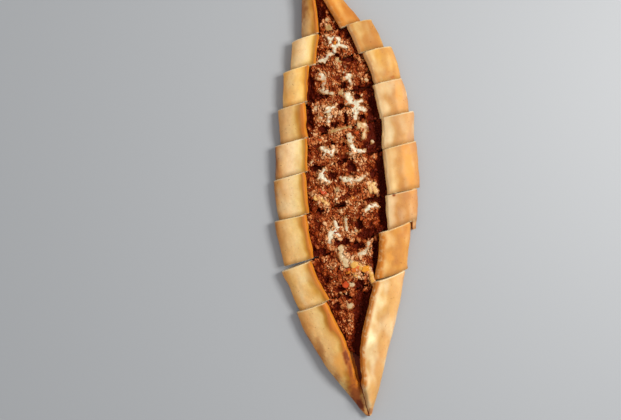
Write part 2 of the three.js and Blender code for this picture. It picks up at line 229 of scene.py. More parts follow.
def scatter(cells, seed):
    """A number from -1 to 1 for each whole-numbered cell, always the same."""
    mixed = (cells.astype(np.int64) * np.array([73856093, 19349663, 83492791])).sum(-1) + seed * 7919
    mixed = (mixed ^ (mixed >> 13)) * 1274126177 & 0x7FFFFFFF
    return ((mixed ^ (mixed >> 16)) & 0xFFFF) / 32767.5 - 1


def ripple(points, size, seed):
    """Smooth unevenness from -1 to 1, whose bumps are about this size."""
    place = points / size + seed * 3.7
    cell = np.floor(place)
    part = place - cell
    part = part * part * (3 - 2 * part)
    total = np.zeros(len(points))
    for corner in itertools.product((0, 1), repeat=3):
        share = np.prod(np.where(corner, part, 1 - part), axis=1)
        total += share * scatter(cell + corner, seed)
    return total


def ease(values, start, end):
    """0 up to start, 1 from end, and a smooth step between them."""
    t = np.clip((values - start) / (end - start), 0, 1)
    return t * t * (3 - 2 * t)


def even_mesh(source, name, voxel):
    """A new object in the shape of another, made of even small quads."""
    piece = bpy.data.objects.new(name, source.data.copy())
    scene.collection.objects.link(piece)
    remesh = piece.modifiers.new("even", "REMESH")
    remesh.mode = "VOXEL"
    remesh.voxel_size = voxel
    ready = piece.evaluated_get(bpy.context.evaluated_depsgraph_get())
    fine = bpy.data.meshes.new_from_object(ready)
    piece.modifiers.clear()
    piece.data = fine
    fine.materials.clear()
    fine.shade_smooth()
    return piece


def faces_of(mesh):
    """The middles, normals and areas of the mesh's faces."""
    faces = mesh.polygons
    return read(faces, "center", 3), read(faces, "normal", 3), read(faces, "area", 1)[:, 0]


def cut_planes(mesh):
    """The flat faces that a knife has left, as (direction they face, distance along it)."""
    middles, normals, areas = faces_of(mesh)
    upright = (np.abs(normals[:, 2]) < UPRIGHT) & (np.abs(normals[:, 1]) > 0.9)
    found = {}
    for middle, normal, area in zip(middles[upright], normals[upright], areas[upright]):
        key = (round(normal[0], 1), round(normal[1]), round(float(normal @ middle) / mm))
        found.setdefault(key, []).append((normal, float(normal @ middle), area))
    planes = []
    for faces in found.values():
        area = sum(face[2] for face in faces)
        if area > LEAST_CUT_AREA:
            normal = sum(face[0] * face[2] for face in faces) / area
            planes.append((normal, sum(face[1] * face[2] for face in faces) / area))
    return planes


def cut_points(points, planes):
    """Which points lie on a cut, and the way that this cut faces."""
    cut = np.zeros(len(points), bool)
    plane_of = np.zeros(len(points), int)
    for index, (normal, distance) in enumerate(planes):
        touching = np.abs(points @ normal - distance) < CUT_TOUCH
        cut |= touching
        plane_of[touching] = index
    return cut, np.array([normal for normal, _ in planes])[plane_of]


def keep_to_cut(moves, cut, facing):
    """Takes out of the moves of a cut's points whatever would lift them off the cut."""
    moves[cut] -= (moves[cut] * facing[cut]).sum(1)[:, None] * facing[cut]


def relax(points, edges, cut, rounds):
    """The mean of each point's neighbours, afresh for each round, as the points are moved between rounds.

    The points within a cut don't count for those on its rim, so it stays sharp.
    """
    one, other = edges.T
    rim = np.zeros(len(points), bool)
    crossing = cut[one] != cut[other]
    rim[one[crossing]] = True
    rim[other[crossing]] = True
    rim &= cut
    inside = cut & ~rim
    to = np.concatenate([one, other])
    of = np.concatenate([other, one])
    used = ~(rim[to] & inside[of])
    to, of = to[used], of[used]
    count = np.maximum(np.bincount(to, minlength=len(points)), 1)
    for _ in range(rounds):
        mean = np.stack([np.bincount(to, points[of, axis], len(points)) for axis in range(3)], 1)
        yield mean / count[:, None]


def lips(number):
    """The upright faces of a slice's folded edges: points, polygons and the way that each face points."""
    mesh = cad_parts[f"dough_{number}"].data
    low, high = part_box(f"filling_{number}")
    middles, normals, _ = faces_of(mesh)
    sideways = (np.abs(normals[:, 2]) < UPRIGHT) & (np.abs(normals[:, 0]) > 0.7)
    beside = (middles[:, 0] > low.x - LIP_SEARCH) & (middles[:, 0] < high.x + LIP_SEARCH)
    chosen = np.flatnonzero(sideways & beside & (middles[:, 2] > LIP_FROM))
    polygons = [list(mesh.polygons[int(index)].vertices) for index in chosen]
    return [vertex.co.copy() for vertex in mesh.vertices], polygons, normals[chosen]


def beside_fold(points, number):
    """How far each point is from the folded edge, below 0 in the trough, and the way that the edge faces."""
    corners, polygons, normals = lips(number)
    tree = BVHTree.FromPolygons(corners, polygons)
    nearest = [tree.find_nearest(point) for point in points]
    towards = normals[[found[2] for found in nearest]]
    offset = points - np.array([found[0] for found in nearest])
    distance = np.array([found[3] for found in nearest])
    in_trough = (offset * towards).sum(1) > TROUGH_FROM
    return np.where(in_trough, -distance, distance), towards


def from_middle(points, x, y, half_width, half_length):
    """How far each point is from the middle of an oval: 1 on its outline."""
    return np.hypot((points[:, 0] / mm - x) / half_width, (points[:, 1] / mm - y) / half_length)


def marked(points, marks):
    """How strongly each point has one of these oval, ragged marks, from 0 to 1."""
    strongest = np.zeros(len(points))
    ragged = ripple(points, 3.5 * mm, 71) * 0.35 + ripple(points, 1.4 * mm, 72) * 0.15
    for *oval, strength in marks:
        away = from_middle(points, *oval) + ragged
        strongest = np.maximum(strongest, (1 - ease(away, 0.3, 1.35)) * strength)
    return strongest


def bread_slice(number):
    """The visible bread of one slice."""
    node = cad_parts[f"dough_{number}"]
    piece = even_mesh(node, f"bread_{number}", BREAD_VOXEL)
    mesh = piece.data
    points = points_of(mesh)
    edges = edges_of(mesh)
    planes = cut_planes(node.data)
    cut, facing = cut_points(points, planes)
    for mean in relax(points, edges, cut, BREAD_RELAX_ROUNDS):
        step = (mean - points) * 0.5
        keep_to_cut(step, cut, facing)
        points += step
    inward, towards = beside_fold(points, number)
    right = towards[:, 0] < 0

    # The skin has soft lumps and fine wrinkles, a crease follows the fold, and a cut shows pores.
    move_points(mesh, points)
    height = points[:, 2].copy()
    lumps = LUMP * ripple(points, LUMP_SIZE, number) + DIMPLE * ripple(points, DIMPLE_SIZE, number + 20)
    wrinkles = WRINKLE * ripple(points * (1, 0.4, 1), WRINKLE_SIZE, number + 40)
    wander = CREASE_WANDER * ripple(points, CREASE_WANDER_SIZE, number + 80)
    fold = np.where(right, RIGHT_CREASE, LEFT_CREASE) + wander
    crease = CREASE_DEPTH * np.exp(-(((inward - fold) / CREASE_WIDTH) ** 2)) * ease(height, *CREASE_HEIGHTS)
    swell = (lumps + wrinkles - BREAD_MARGIN) * ease(height, *SKIN_HEIGHTS)
    push = normals_of(mesh) * (swell - crease)[:, None]
    keep_to_cut(push, cut, facing)
    pores = np.maximum(ripple(points, PORE_SIZE, number + 60) - 0.2, 0) * PORE
    spread = CUT_SPREAD - (CUT_SPREAD - CUT_MOUTH) * ease(height, *MOUTH_HEIGHTS)
    push[cut] += facing[cut] * (spread - pores)[cut][:, None]

    # The folded edge waves and hangs in over the filling, and the bread droops towards its southern cut.
    rim = ease(height, *LIP_HEIGHTS) * np.exp(-((inward / LIP_WAVE_WIDTH) ** 2))
    wave = LIP_WAVE * rim * ripple(points * (0, 1, 0.3), LIP_WAVE_SIZE, number + 90)
    push[:, 0] += np.sign(towards[:, 0]) * wave
    left_hang, right_hang = HANGS[number - 1]
    hang = np.where(right, right_hang, left_hang) * mm * ease(height, *HANG_HEIGHTS)
    hang = hang * np.exp(-((np.maximum(inward, 0) / HANG_WIDTH) ** 2))
    push[:, :2] += (towards * hang[:, None])[:, :2]
    north, south = np.full(len(points), FAR_FROM_CUT), np.full(len(points), FAR_FROM_CUT)
    for normal, distance in planes:
        nearer = north if normal[1] > 0 else south
        np.minimum(nearer, np.abs(points @ normal - distance), out=nearer)
    push[:, 2] -= SOUTH_DROOP * np.exp(-south / SOUTH_DROOP_LENGTH) * ease(height, *DROOP_HEIGHTS)
    points += push
    points[:, 2] = np.maximum(points[:, 2], 0)
    points = np.clip(points, np.array(cad_low), np.array(cad_high))
    move_points(mesh, points)

    # The crust reads its colours from these: a cut's rim keeps the colour of the skin.
    cut_face = cut.copy()
    cut_face[edges[cut[edges[:, 0]] != cut[edges[:, 1]]].ravel()] = False
    give(mesh, "inward", inward / mm)
    give(mesh, "right", right)
    give(mesh, "cut", cut_face)
    give(mesh, "scorch", marked(points, SCORCHES_AND_SHADE))
    give(mesh, "oil_spot", marked(points, OIL_SPOTS))
    give(mesh, "browned_edge", np.where(right, BROWNED_AND_SHADED_EDGES[number - 1], 0))
    give(mesh, "brown_reach", np.where(right, 0, BROWN_REACHES[number - 1]))
    give(mesh, "from_north", north / mm)
    give(mesh, "from_south", south / mm)
    give(mesh, "stain", STAINS[number - 1])
    left_bake, right_bake = BAKED[number - 1]
    for channel, one, other in zip(("bake_red", "bake_green", "bake_blue"), left_bake, right_bake):
        give(mesh, channel, np.where(right, other, one))
    return piece


bread = {number: bread_slice(number) for number in SLICES}


class Wire:
    """A shader socket that can be reckoned with: each sign between two of them adds a Math node."""

    def __init__(self, finish, socket):
        self.finish = finish
        self.socket = socket

    def maths(self, operation, *values):
        return self.finish.node("ShaderNodeMath", {"operation": operation}, dict(enumerate(values)))

    def __add__(self, other):
        return self.maths("ADD", self, other)

    def __mul__(self, other):
        return self.maths("MULTIPLY", self, other)

    def __sub__(self, other):
        return self.maths("SUBTRACT", self, other)

    def __rsub__(self, other):
        return self.maths("SUBTRACT", other, self)

    __radd__ = __add__
    __rmul__ = __mul__

    def between(self, start, end):
        """0 up to start, 1 from end, and a smooth step between them."""
        settings = {"interpolation_type": "SMOOTHSTEP"}
        return self.finish.node("ShaderNodeMapRange", settings, {0: self, 1: start, 2: end})

    def blend(self, low, high):
        """The first colour where this is 0 and the second where it is 1."""
        return self.finish.node("ShaderNodeMix", {"data_type": "RGBA"}, {0: self, 6: low, 7: high}, 2)


class Finish:
    """A material built round its Principled shader."""

    def __init__(self, name, constants):
        self.material = bpy.data.materials.new(name)
        self.material.use_nodes = True
        self.shader = self.material.node_tree.nodes["Principled BSDF"]
        for socket, value in constants.items():
            self.shader.inputs[socket].default_value = value

    def node(self, kind, settings=None, sockets=None, out=0):
        """Adds a node, sets it up, then sets or links its sockets, and gives one of its outputs."""
        made = self.material.node_tree.nodes.new(kind)
        for name, value in (settings or {}).items():
            if name == "stops":
                self.set_stops(made.color_ramp, value)
            else:
                setattr(made, name, value)
        for name, value in (sockets or {}).items():
            self.put(made.inputs[name], value)
        return Wire(self, made.outputs[out])

    def set_stops(self, ramp, stops):
        while len(ramp.elements) < len(stops):
            ramp.elements.new(0.5)
        for element, (place, colour) in zip(ramp.elements, stops):
            element.position = place
            element.color = colour

    def put(self, socket, value):
        if isinstance(value, Wire):
            self.material.node_tree.links.new(value.socket, socket)
        else:
            socket.default_value = value

    def attribute(self, name):
        return self.node("ShaderNodeAttribute", {"attribute_name": name}, out="Fac")

    def noise(self, size, detail=2, stretch=(1, 1, 1)):
        """Cloudy unevenness around 0.5, of this size in metres."""
        place = self.node("ShaderNodeTexCoord", out="Object")
        stretched = self.node("ShaderNodeVectorMath", {"operation": "MULTIPLY"}, {0: place, 1: stretch})
        sockets = {"Vector": stretched, "Scale": 1 / size, "Detail": detail, "Roughness": 0.6}
        return self.node("ShaderNodeTexNoise", None, sockets)

    def bump(self, height, distance, strength=1):
        sockets = {"Strength": strength, "Distance": distance, "Height": height}
        self.put(self.shader.inputs["Normal"], self.node("ShaderNodeBump", None, sockets))


def paint(hexadecimal):
    """A colour written as six hexadecimal digits, as the light that it reflects."""
    parts = [int(hexadecimal[i : i + 2], 16) / 255 for i in (0, 2, 4)]
    return (*[p / 12.92 if p <= 0.04045 else ((p + 0.055) / 1.055) ** 2.4 for p in parts], 1)


# The colours from the folded edge to the foot of the slope, left and right, by their place between.
# On the left the dark stop at the crease is painted shade, and the dark outer end is toasting and painted
# shade.
LEFT_BAKE_AND_SHADE = (
    (0.0, "dc9030"), (0.04, "d07c1c"), (0.12, "b4660e"), (0.17, "9c6212"), (0.23, "b8842e"), (0.32, "e4c07a"),
    (0.46, "f2cd92"), (0.62, "f8c98c"), (0.76, "f2b46c"), (0.88, "e0944c"), (0.96, "a8622e"), (1.0, "7c3e1e"),
)
# On the right the pale last stop is a painted highlight where the outer rim catches the light.
RIGHT_BAKE_AND_HIGHLIGHT = (
    (0.0, "f8ce86"), (0.03, "fad494"), (0.06, "fadaa0"), (0.1, "fcdea6"), (0.18, "e8c088"), (0.3, "c88e4e"),
    (0.42, "bc8046"), (0.6, "cc8e50"), (0.72, "d99c5e"), (0.86, "d29460"), (0.96, "cc8c56"), (1.0, "f2c084"),
)
# The last of them is this many millimetres from the folded edge.
BAKE_WIDTH = 34
OIL_YELLOW = paint("e6a844")
TOASTED_PATCH = paint("cc8446")
PALE_PATCH = paint("f6deaa")
MOTTLE = paint("b8763a")
FRECKLE = paint("94582a")
# Painted shade by the southern cut, and flour with a painted highlight by the northern one.
SOUTHERN_PAINTED_SHADE = paint("8a6230")
NORTHERN_FLOUR_AND_HIGHLIGHT = paint("f6dfb0")
OIL_ORANGE = paint("e29a44")
# The browned edge colour is also painted shade on the right fold's unlit face.
BROWNED_AND_SHADED_EDGE = paint("c47010")
# Scorched and burnt browns, which the scorch marks also lay down as painted shade.
SCORCHED_AND_SHADED = paint("a65a20")
BURNT_AND_SHADED = paint("6c2a0a")
TROUGH_RED = paint("6a260a")
CUT_PALE = paint("f6e2b6")
CUT_GOLD = paint("dcb070")
TOASTED_FOOT = paint("a56a36")


def crust_finish():
    """Baked dough: oil-soaked folded edge, pale crest, toasted slope, freckles, a floury cut, and painted shade
    and highlights.
    """
    constants = {
        "Specular IOR Level": 0.22,
        "Subsurface Weight": 0.06,
        "Subsurface Radius": (0.004, 0.002, 0.001),
        "Subsurface Scale": 0.4,
    }
    crust = Finish("baked_crust", constants)
    inward = crust.attribute("inward")
    right = crust.attribute("right")
    wander = (crust.noise(17 * mm, 1) - 0.5) * (10 + right * 12)
    reach = crust.attribute("brown_reach") * inward.between(1, 4)
    across = (inward - reach + wander * inward.between(1, 12)) * (1 / BAKE_WIDTH)
    sides = []
    for bake in (LEFT_BAKE_AND_SHADE, RIGHT_BAKE_AND_HIGHLIGHT):
        stops = [(place, paint(code)) for place, code in bake]
        sides.append(crust.node("ShaderNodeValToRGB", {"stops": stops}, {0: across}))
    skin = right.blend(*sides)

    # Past the folded edge the skin is stained, patchy, mottled and freckled.
    open_skin = inward.between(5, 11)
    stain = crust.noise(14 * mm, 2, (1, 0.7, 1)).between(0.3, 0.7) * crust.attribute("stain")
    skin = (stain * open_skin * 0.8).blend(skin, OIL_YELLOW)
    patchy = crust.noise(17 * mm, 2, (1, 0.6, 1)).between(0.4, 0.75)
    skin = (patchy * open_skin * 0.3).blend(skin, TOASTED_PATCH)
    pale = crust.noise(15 * mm, 1, (1.2, 0.6, 1)).between(0.45, 0.8)
    skin = (pale * open_skin * 0.36).blend(skin, PALE_PATCH)
    mottled = crust.noise(3 * mm, 3).between(0.3, 0.75)
    skin = (mottled * open_skin * 0.18).blend(skin, MOTTLE)
    freckle = crust.noise(2.2 * mm, 1).between(0.70, 0.76) * inward.between(8, 16)
    skin = (freckle * 0.6).blend(skin, FRECKLE)

    # Beside its southern cut it is darkened with painted shade, and along its northern one it is floury with a
    # painted highlight.
    south = 1 - (crust.attribute("from_south") + crust.noise(6 * mm) * 3).between(1.2, 6.5)
    skin = (south * 0.6 * inward.between(1, 6)).blend(skin, SOUTHERN_PAINTED_SHADE)
    north = 1 - crust.attribute("from_north").between(0.2, 1.4)
    skin = (north * 0.5 * inward.between(3, 6)).blend(skin, NORTHERN_FLOUR_AND_HIGHLIGHT)

    # Each side of each slice has taken its own colour, with orange oil spots, a browned edge and scorches;
    # painted shade darkens both in places.
    shares = [crust.attribute(f"bake_{channel}") for channel in ("red", "green", "blue")]
    tint = crust.node("ShaderNodeCombineColor", None, dict(enumerate(shares)))
    multiply = {"data_type": "RGBA", "blend_type": "MULTIPLY"}
    tinted = crust.node("ShaderNodeMix", multiply, {0: 1, 6: skin, 7: tint}, 2)
    skin = inward.between(2, 6).blend(skin, tinted)
    skin = (crust.attribute("oil_spot") * inward.between(2, 5) * 0.8).blend(skin, OIL_ORANGE)
    # The right fold's very edge is browned, and painted darker as shade where it faces away from the light.
    very_edge = (1 - inward.between(5, 8)) * (crust.noise(5 * mm, 2).between(0.3, 0.55) * 0.4 + 0.6)
    skin = (very_edge * crust.attribute("browned_edge")).blend(skin, BROWNED_AND_SHADED_EDGE)
    scorch = crust.attribute("scorch")
    skin = scorch.between(0, 0.8).blend(skin, SCORCHED_AND_SHADED)
    skin = scorch.between(0.5, 1).blend(skin, BURNT_AND_SHADED)

    # The trough is red with oil, the cuts show the crumb, and the foot of the slope is toasted.
    trough = 1 - inward.between(-1.2, -0.4)
    skin = trough.blend(skin, TROUGH_RED)
    cut = crust.attribute("cut")
    crumb = crust.noise(1.8 * mm, 2).between(0.4, 0.75).blend(CUT_PALE, CUT_GOLD)
    skin = (cut * (1 - trough)).blend(skin, crumb)
    height = crust.node("ShaderNodeSeparateXYZ", None, {0: crust.node("ShaderNodeTexCoord", out="Object")}, 2)
    low_down = (1 - height.between(0.5 * mm, 6 * mm)) * (1 - cut)
    skin = (low_down * 0.8 * inward.between(2, 6)).blend(skin, TOASTED_FOOT)
    crust.put(crust.shader.inputs["Base Color"], skin)
    oily = 1 - inward.between(3.5, 6.5)
    crust.put(crust.shader.inputs["Roughness"], 0.66 - oily * 0.16)
    crust.bump(crust.noise(1.2 * mm, 3) * 0.5 + crust.noise(5 * mm, 2), 0.5 * mm, 0.6)
    return crust.material


baked_crust = crust_finish()
for number, piece in bread.items():
    piece.data.materials.append(baked_crust)
    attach(piece, "root")
    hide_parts(f"dough_{number}")

# ---- The imported filling ------------------------------------------------------------------------------------
# Under its loose top the minced meat is packed together and soaked in its own red oil. It lies in heaps, and
# sinks towards the folded edges, most of all on the right, where the oil gathers.
# Painted shade darkens it in the hollows, between the heaps and in the shadow beside the right folded edge.

PACKED_VOXEL = 0.85 * mm
PACKED_RELIEF = 1.5 * mm
HEAP = 1.6 * mm
HEAP_SIZE = 11 * mm
CLUMP = 2.6 * mm
CLUMP_SIZE = 6.5 * mm
CLUMP_SWAY, CLUMP_SWAY_SIZE = 1.6 * mm, 5 * mm
HOLLOW = 4.2 * mm
# The crumbs that show within it, coarse and fine: their size, share and seed.
PACKED_CRUMBS = ((2.6 * mm, 0.7, 3), (1.7 * mm, 0.3, 5))
# The oil sinks it, and painted shadow darkens it, beside the folds; both fade between these distances from the
# left one and the right one.
SINK = 3 * mm
LEFT_OIL_AND_SHADOW = (0.5 * mm, 5 * mm)
RIGHT_OIL_AND_SHADOW = (4 * mm, 12 * mm)
LEFT_OIL_AND_SHADOW_SHARE = 0.35
OIL_AND_SHADOW_WANDER, OIL_AND_SHADOW_WANDER_SIZE = 2.5 * mm, 9 * mm
# Towards the north the oil and painted shadow on the right keep closer to the fold.
NORTHERN = (90 * mm, 118 * mm)
NORTHERN_NARROWING = 5 * mm
# It bulges a little at a cut, and its relief there begins between these heights.
FILLING_SPREAD = 0.45 * mm
CUT_RELIEF_HEIGHTS = (7 * mm, 10 * mm)
# The hollows between the heaps, darkened with painted shade, in millimetres: x, y, half width, half length.
HOLLOWS = (
    (-3, 174, 6, 7), (-20, 108, 3, 6), (-22, 97, 5, 8), (-14, 94, 8, 3), (18, 126, 6, 3), (5, 131, 4, 2),
    (9, 101, 4, 3), (24, 95, 5, 4), (22, 88, 4, 3), (34, 75, 5, 10), (4, 80, 4, 3), (-29, 85, 4, 3),
    (-27, 72, 4, 9), (-15, 62, 5, 3), (-4, 64, 5, 3), (8, 70, 2, 5), (22, 67, 5, 3), (33, 50, 6, 15),
    (26, 36, 8, 6), (2, 44, 2, 2), (-9, 46, 2, 2), (-29, 25, 6, 3), (-2, 27, 6, 3), (6, 22, 5, 5),
    (-13, 15, 5, 4), (34, 10, 6, 14), (26, 12, 4, 5), (33, -5, 5, 7), (-10, -14, 5, 3), (-30, -17, 3, 3),
    (25, -14, 8, 3), (30, -30, 4, 12), (5, -35, 4, 6), (12, -46, 9, 5), (-12, -51, 7, 4), (-36, -57, 7, 4),
    (1, -56, 4, 4), (17, -66, 3, 12), (-34, -85, 2, 3), (-20, -95, 4, 4), (-15, -104, 4, 3), (-3, -95, 5, 6),
    (-3, -112, 8, 13), (-28, -112, 4, 4), (-8, -130, 6, 12), (-12, -150, 6, 12), (-15, -170, 5, 15),
)


def all_lips(direction):
    """A search tree of the folded edges of all slices on one side: -1 for left, 1 for right."""
    points, chosen = [], []
    for number in SLICES:
        corners, polygons, normals = lips(number)
        chosen += [[len(points) + i for i in p] for p, n in zip(polygons, normals) if n[0] * direction < 0]
        points += corners
    return BVHTree.FromPolygons(points, chosen)


left_lips, right_lips = all_lips(-1), all_lips(1)


def oil_and_shadow(points):
    """1 beside the folded edges, where the meat is sunk with oil and darkened with painted shadow, down to 0 in
    the open.
    """
    from_left = np.array([left_lips.find_nearest(point)[3] for point in points])
    from_right = np.array([right_lips.find_nearest(point)[3] for point in points])
    wander = ripple(points, OIL_AND_SHADOW_WANDER_SIZE, 14) * OIL_AND_SHADOW_WANDER
    narrowing = ease(points[:, 1], *NORTHERN) * NORTHERN_NARROWING
    left = 1 - ease(from_left + wander, *LEFT_OIL_AND_SHADOW)
    right = 1 - ease(from_right + wander + narrowing, *RIGHT_OIL_AND_SHADOW)
    return np.maximum(left * LEFT_OIL_AND_SHADOW_SHARE, right)


def knobs(points, size, seed):
    """Rounded bumps of this size, packed together like crumbs: 1 at their tops and 0 in the clefts."""
    place = points[:, :2] / size
    cell = np.floor(place)
    nearest = np.full(len(points), 9.0)
    for step in itertools.product((-1, 0, 1), repeat=2):
        spot = np.column_stack([cell + step, np.zeros(len(points))])
        knob = spot[:, :2] + 0.5 + 0.45 * np.column_stack([scatter(spot, seed), scatter(spot, seed + 1)])
        np.minimum(nearest, ((place - knob) ** 2).sum(1), out=nearest)
    return 1 - np.minimum(nearest / 0.6, 1)


def hollowness(points):
    """1 in the middle of a hollow, which is painted darker as shade, down to 0 outside them all."""
    deep = np.zeros(len(points))
    ragged = 0.35 * ripple(points * (1, 1, 0), 3.5 * mm, 16)
    for oval in HOLLOWS:
        deep = np.maximum(deep, 1 - ease(from_middle(points, *oval) + ragged, 0.55, 1.3))
    return deep


def heap(points):
    """How much higher or lower the meat is heaped at each place than the smooth filling."""
    flat = points * (1, 1, 0)
    sway = np.column_stack([ripple(flat, CLUMP_SWAY_SIZE, 17), ripple(flat, CLUMP_SWAY_SIZE, 18), flat[:, 2]])
    clumps = CLUMP * (knobs(flat + sway * CLUMP_SWAY, CLUMP_SIZE, 21) - 0.55)
    return clumps + HEAP * ripple(flat, HEAP_SIZE, 9) - HOLLOW * hollowness(points)


def packed_filling(number):
    """The filling of one slice, roughened where it faces up."""
    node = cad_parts[f"filling_{number}"]
    piece = even_mesh(node, f"packed_meat_{number}", PACKED_VOXEL)
    points = points_of(piece.data)
    upward = ease(normals_of(piece.data)[:, 2], 0.2, 0.8)
    for normal, distance in cut_planes(node.data):
        touching = np.abs(points @ normal - distance) < CUT_TOUCH
        points[touching] += normal * FILLING_SPREAD
        upward[touching] = ease(points[touching, 2], *CUT_RELIEF_HEIGHTS)
    relief = sum(knobs(points, size, seed) * share for size, share, seed in PACKED_CRUMBS)
    heaped = heap(points)
    oily = oil_and_shadow(points)
    # The tone holds painted light: crumb tops and heaps lighter, clefts, hollows and the right fold's shadow
    # darker.
    tone = 0.2 + 0.3 * relief + 0.11 * heaped / mm + 0.12 * ripple(points, 9 * mm, 12)
    tone -= 0.5 * oily + 0.3 * hollowness(points)
    points[:, 2] += ((relief - 0.7) * PACKED_RELIEF + heaped - SINK * oily) * upward
    move_points(piece.data, points)
    give(piece.data, "tone", tone)
    return piece


def meat_finish(name, stops, gloss):
    """Cooked minced meat in red oil, as brown as the tone stored on it, which holds painted light and shade.
    Gloss makes the oil shine in spots.
    """
    meat = Finish(name, {"Roughness": 0.55, "Specular IOR Level": 0.06, "Coat Roughness": 0.3})
    tone = meat.attribute("tone")
    mottled = meat.noise(1.4 * mm, 3) - 0.5
    colour = meat.node("ShaderNodeValToRGB", {"stops": stops}, {0: tone + mottled * 0.9})
    meat.put(meat.shader.inputs["Base Color"], colour)
    if gloss:
        meat.put(meat.shader.inputs["Coat Weight"], meat.noise(4 * mm, 2).between(0.4, 0.65) * gloss)
    meat.bump(meat.noise(0.8 * mm, 2), 0.4 * mm, 1)
    return meat.material


PACKED_TONES = [(0.0, paint("521304")), (0.4, paint("702408")), (1.0, paint("b05c22"))]
packed_meat = meat_finish("packed_meat", PACKED_TONES, 0)
for number in SLICES:
    piece = packed_filling(number)
    piece.data.materials.append(packed_meat)
    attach(piece, "root")
    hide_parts(f"filling_{number}")

# ---- The melted cheese -------------------------------------------------------------------------------------
# Lumps of white cheese have melted into ragged patches that hug the crumbs. They are white and moist in the
# middle, and tan with oil at their thin edges. Small shreds of the same cheese lie between them.

CHEESE_VOXEL = 0.5 * mm
CHEESE_HALF_THICKNESS = 1.1 * mm
CHEESE_RELAX_ROUNDS = 6
MELT_SPREAD = 1.15
# Each larger patch as the strokes that it has run out in, in millimetres: width, then points x, y.
PATCHES = (
    (
        (4.6, (8, 148), (4, 145.5), (4, 141), (8, 139), (12, 141.5), (12, 146), (8, 148)),
        (5, (7, 139), (6, 134)), (4.5, (12, 140), (18, 137)), (3.5, (4, 146), (2, 149)),
    ),
    ((5.5, (3, 133), (-3, 130), (-9, 128)), (3.5, (-3, 130), (-5, 126))),
    ((6.5, (-10, 114), (-8.5, 110)), (4, (-9, 110), (-8, 105)), (3, (-10, 113), (-13, 111))),
    ((6.5, (14.5, 108), (17, 109)), (4, (16, 107), (18, 101)), (3, (15, 110), (12, 113))),
    ((6, (-11, 99), (-8, 97)), (3.5, (-10, 100), (-10, 104)), (4, (-7, 96), (-2, 94))),
    (
        (8, (13, 90), (15, 85), (19, 79)), (9, (19, 80), (18, 74)), (5, (18, 74), (16, 67)),
        (5.5, (19, 78), (27, 74)), (4.5, (20, 82), (25, 83)), (4, (15, 84), (10, 82)),
    ),
    ((7, (-8, 80), (-7, 74)), (4, (-7, 79), (-2, 81)), (3.5, (-8, 74), (-10, 69)), (3, (-8, 78), (-13, 77))),
    ((4.5, (-8, 57.5), (0, 58.5), (10, 59)),),
    ((7.5, (19, 60), (23, 58.5)), (4.5, (24, 54), (22, 48))),
    ((6.5, (8, 52), (8.5, 46)), (3.5, (9, 50), (13, 49))),
    ((6, (9.5, 41), (12, 37)), (5.5, (12, 36), (17, 35)), (3.5, (11, 36), (7, 33))),
    ((5.5, (-19, 43), (-15, 39), (-11, 35)), (4.5, (-11, 36), (-8.5, 40)), (3, (-16, 39), (-19, 36))),
    (
        (7, (-24, 17), (-22, 13)), (4, (-23, 18), (-20.5, 22)), (4, (-22, 12), (-18, 10)),
        (3, (-24, 16), (-28, 14)),
    ),
    ((7, (-2, 9.5), (4, 9)), (4.5, (5, 8), (12, 7), (17, 10)), (3.5, (-2, 9), (-6, 12)), (3, (3, 8), (4, 4))),
    ((5, (21, 3), (21, -7)), (6, (25, 1), (26, -6))),
    ((6, (-33, -4), (-27, -6)), (4.5, (-26, -8), (-22, -12))),
    ((6.5, (17, -21), (23, -19)), (5, (13, -24), (17, -21)), (3.5, (23, -19), (26, -21))),
    (
        (5, (-17.5, -30), (-17, -37), (-21, -41)), (7, (-22, -39), (-24, -44)),
        (5.5, (-24, -44), (-25.5, -49)), (4, (-20, -40), (-15, -44)), (3, (-18, -35), (-14, -36)),
    ),
    ((4.5, (-7, -29), (-7.5, -39)),),
    ((7, (-16, -56), (-15.5, -64), (-13, -73)), (4.5, (-13, -68), (-7, -70))),
    ((5.5, (1.5, -64.5), (7, -63.5)), (4.5, (8, -63), (11, -58), (12, -55))),
    (
        (8, (-6, -73), (-1, -75), (3, -78)), (6.5, (3, -77), (8, -80)),
        (5.5, (8, -80), (10, -86), (10.5, -94)), (5, (-6, -76), (-6, -84), (-3, -86)),
    ),
)
# How tan and how yellow each patch is, where it isn't white.
TAN_PATCHES = {
    2: 0.3, 3: 0.2, 5: 0.45, 8: 1.0, 9: 0.25, 10: 0.35, 14: 0.25, 19: 0.35, 20: 0.4, 21: 0.45, 22: 0.1,
}
YELLOW_PATCHES = {8: 0.5, 9: 0.5, 15: 0.7, 16: 0.8, 20: 0.35, 22: 0.9}
# Known small shreds in millimetres: x, y, width, and how tan.
SHREDS = (
    (3.5, 166, 5, 0.6), (4, 158, 8, 1), (9, 125.5, 7, 0.9), (33, 103, 6, 0.6), (7.5, 94, 8, 0.9),
    (-20, 83, 7, 0.5), (-16.5, 72, 7, 0.5), (-9.5, 67.5, 5, 0.8), (30.5, 42.5, 5, 0.3), (-31, 30, 5, 0.4),
    (-11, 1, 6, 0.8), (-13, -8, 5, 0.1), (-9.5, -19.5, 5, 0.8), (0.5, -41.5, 5, 0.5), (-5, -66, 4, 0.1),
    (-10.5, -93, 6, 0.5), (-15.5, -112.5, 8, 0.6), (-15, -77, 5, 0.9), (21, 35, 5, 0.8),
)
STRAY_PITCH = 10 * mm
STRAY_LEAST = 0.6 * mm
STRAY_MOST = 1.5 * mm
# No stray lies where the meat is more oily and shadowed, or more hollow, than this.
STRAY_LIMIT = 0.25
# A run of cheese is a row of flat blobs, this many to its width, with lobes that have run out sideways.
BLOBS_TO_WIDTH = 3
BLOB_SWAY = 0.09
LOBE_SPACING = 3 * mm
LOBE_REACHES = (0.4, 0.7)
LOBE_SIZE = 0.24
CHEESE_LUMP, CHEESE_LUMP_SIZE = 0.55 * mm, 2.4 * mm
# It thins between these distances from its outline, from within to outside.
THIN_EDGE = (-2.6 * mm, 0.9 * mm)
